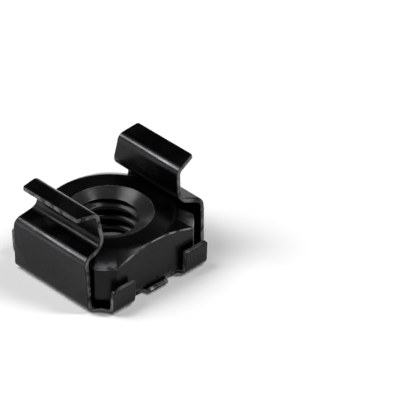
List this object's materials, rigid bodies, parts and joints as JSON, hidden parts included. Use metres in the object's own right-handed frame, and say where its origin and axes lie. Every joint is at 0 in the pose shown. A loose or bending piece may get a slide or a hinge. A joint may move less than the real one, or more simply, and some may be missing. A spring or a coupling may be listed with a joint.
{
  "type": "rack cage nut",
  "caption": "Rack cage nut: a threaded square nut floating in a folded spring-steel cage whose hooked legs clip into a square panel hole.",
  "frame": {"origin": "centre of the clearance hole in the cage floor, on the floor's underside", "axes": "+Z along the thread axis from the cage floor towards the hooked legs, the side that meets the panel; +X from wall to wall, square to the walls; +Y along the walls, towards one open side"},
  "size_m": [0.0136, 0.0128, 0.0094],
  "materials": {
    "spring_cage": "glossy black electrocoat on spring steel strip, worn bright along the folds",
    "square_nut": "black oxide and oil on carbon steel, satin, bright wear on the crown edge"
  },
  "bodies": {
    "root": {"spring_cage": "spring_cage", "square_nut": "square_nut"}
  },
  "joints": []
}
